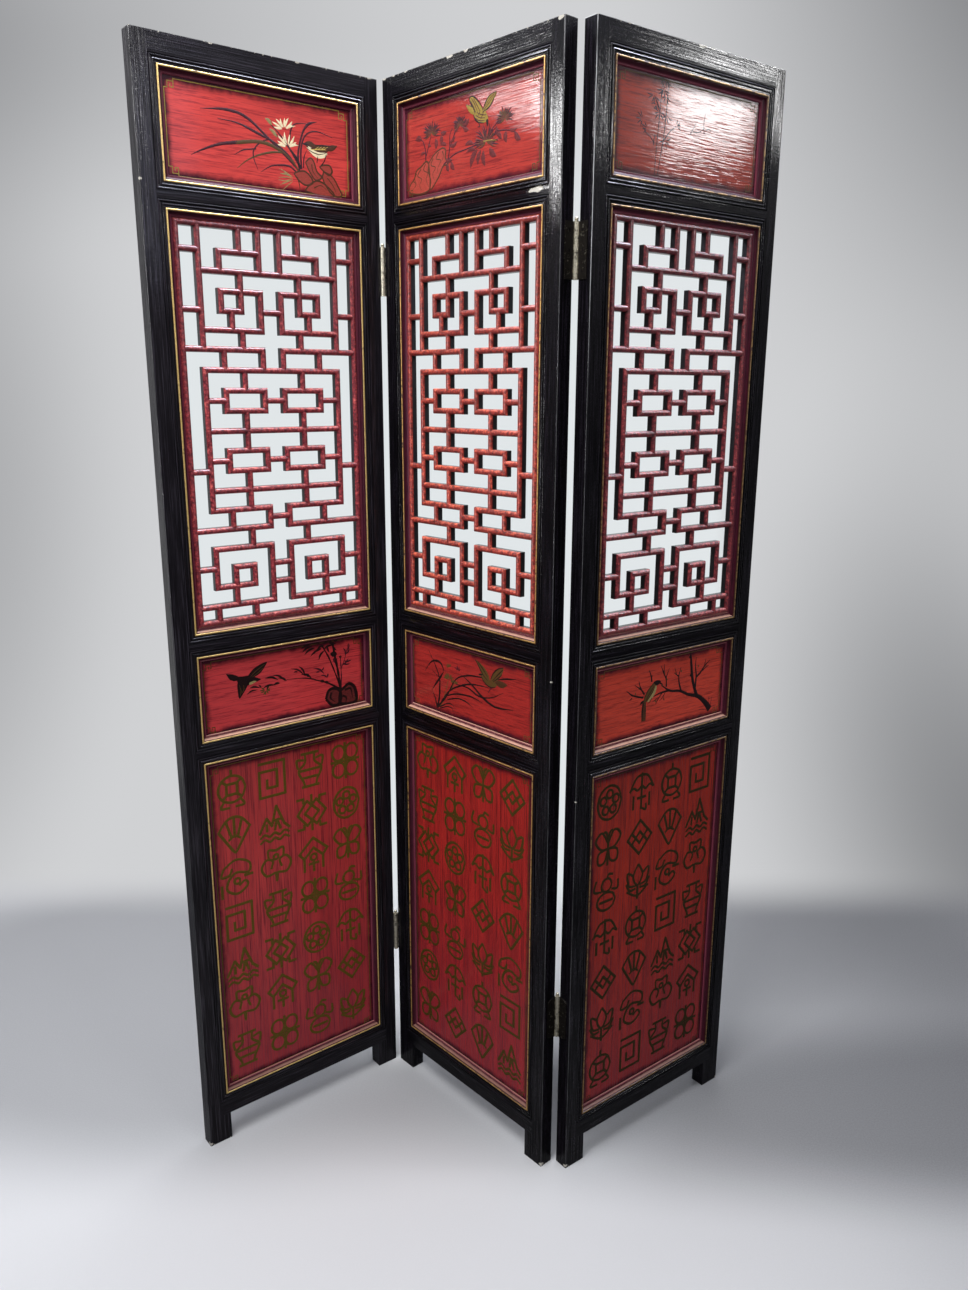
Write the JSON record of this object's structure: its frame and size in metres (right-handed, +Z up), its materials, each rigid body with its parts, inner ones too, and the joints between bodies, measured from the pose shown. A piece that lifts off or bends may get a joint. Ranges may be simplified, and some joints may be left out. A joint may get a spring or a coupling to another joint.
{
  "type": "folding screen",
  "caption": "Free-standing hinged folding screen in a zigzag, with black lacquered frames, red fret lattice openings, painted boards and gilt edge lines.",
  "frame": {"origin": "middle of the screen's outline in plan, on the floor, in the pictured zigzag", "axes": "+Z up; the painted fronts face -Y, towards the viewer; +X to the viewer's right"},
  "size_m": [0.9816, 0.3252, 1.83],
  "materials": {
    "black_lacquer": "high-gloss black lacquer with faint brush marks",
    "red_lacquer": "glossy red lacquer with level brush grain and thin painted pictures",
    "crimson_lacquer": "satin crimson lacquer with upright grain and gold ornaments",
    "fret_lacquer": "mottled dull red paint on the rounded fronts, black on the sides",
    "gilt": "gold paint, satin",
    "maroon_lacquer": "glossy dark maroon lacquer",
    "aged_brass": "dark aged brass",
    "screw_brass": "worn brass"
  },
  "bodies": {
    "left_panel": {"left_panel_left_stile": "black_lacquer", "left_panel_right_stile": "black_lacquer", "left_panel_bottom_rail": "black_lacquer", "left_panel_lower_rail": "black_lacquer", "left_panel_waist_rail": "black_lacquer", "left_panel_upper_rail": "black_lacquer", "left_panel_top_rail": "black_lacquer", "left_panel_bottom_board": "crimson_lacquer", "left_panel_waist_board": "red_lacquer", "left_panel_top_board": "red_lacquer", "left_panel_lattice": "fret_lacquer", "left_panel_gilt_beads": "gilt", "left_panel_mouldings": "maroon_lacquer", "left_panel_hinge_screws": "screw_brass", "left_fold_upper_side_leaf": "aged_brass", "left_fold_lower_side_leaf": "aged_brass"},
    "middle_panel": {"middle_panel_left_stile": "black_lacquer", "middle_panel_right_stile": "black_lacquer", "middle_panel_bottom_rail": "black_lacquer", "middle_panel_lower_rail": "black_lacquer", "middle_panel_waist_rail": "black_lacquer", "middle_panel_upper_rail": "black_lacquer", "middle_panel_top_rail": "black_lacquer", "middle_panel_bottom_board": "crimson_lacquer", "middle_panel_waist_board": "red_lacquer", "middle_panel_top_board": "red_lacquer", "middle_panel_lattice": "fret_lacquer", "middle_panel_gilt_beads": "gilt", "middle_panel_mouldings": "maroon_lacquer", "middle_panel_hinge_screws": "screw_brass", "left_fold_upper_middle_leaf": "aged_brass", "left_fold_lower_middle_leaf": "aged_brass", "right_fold_upper_middle_leaf": "aged_brass", "right_fold_lower_middle_leaf": "aged_brass"},
    "right_panel": {"right_panel_left_stile": "black_lacquer", "right_panel_right_stile": "black_lacquer", "right_panel_bottom_rail": "black_lacquer", "right_panel_lower_rail": "black_lacquer", "right_panel_waist_rail": "black_lacquer", "right_panel_upper_rail": "black_lacquer", "right_panel_top_rail": "black_lacquer", "right_panel_bottom_board": "crimson_lacquer", "right_panel_waist_board": "red_lacquer", "right_panel_top_board": "red_lacquer", "right_panel_lattice": "fret_lacquer", "right_panel_gilt_beads": "gilt", "right_panel_mouldings": "maroon_lacquer", "right_panel_hinge_screws": "screw_brass", "right_fold_upper_side_leaf": "aged_brass", "right_fold_lower_side_leaf": "aged_brass"},
    "left_upper_pin": {"left_fold_upper_pin": "aged_brass"},
    "left_lower_pin": {"left_fold_lower_pin": "aged_brass"},
    "right_upper_pin": {"right_fold_upper_pin": "aged_brass"},
    "right_lower_pin": {"right_fold_lower_pin": "aged_brass"}
  },
  "joints": [
    {"name": "left_fold", "type": "hinge", "parent": "middle_panel", "child": "left_panel", "pos_m": [-0.15302, 0.14103, 0.915], "axis": [0, 0, 1], "range_deg": [-86.4, 93.6]},
    {"name": "right_fold", "type": "hinge", "parent": "middle_panel", "child": "right_panel", "pos_m": [0.14824, -0.1406, 0.915], "axis": [0, 0, 1], "range_deg": [-85.2, 94.8]},
    {"name": "left_upper_pin_lift", "type": "slide", "parent": "middle_panel", "child": "left_upper_pin", "axis": [0, 0, 1], "range_m": [0, 0.08]},
    {"name": "left_lower_pin_lift", "type": "slide", "parent": "middle_panel", "child": "left_lower_pin", "axis": [0, 0, 1], "range_m": [0, 0.08]},
    {"name": "right_upper_pin_lift", "type": "slide", "parent": "middle_panel", "child": "right_upper_pin", "axis": [0, 0, 1], "range_m": [0, 0.08]},
    {"name": "right_lower_pin_lift", "type": "slide", "parent": "middle_panel", "child": "right_lower_pin", "axis": [0, 0, 1], "range_m": [0, 0.08]}
  ]
}
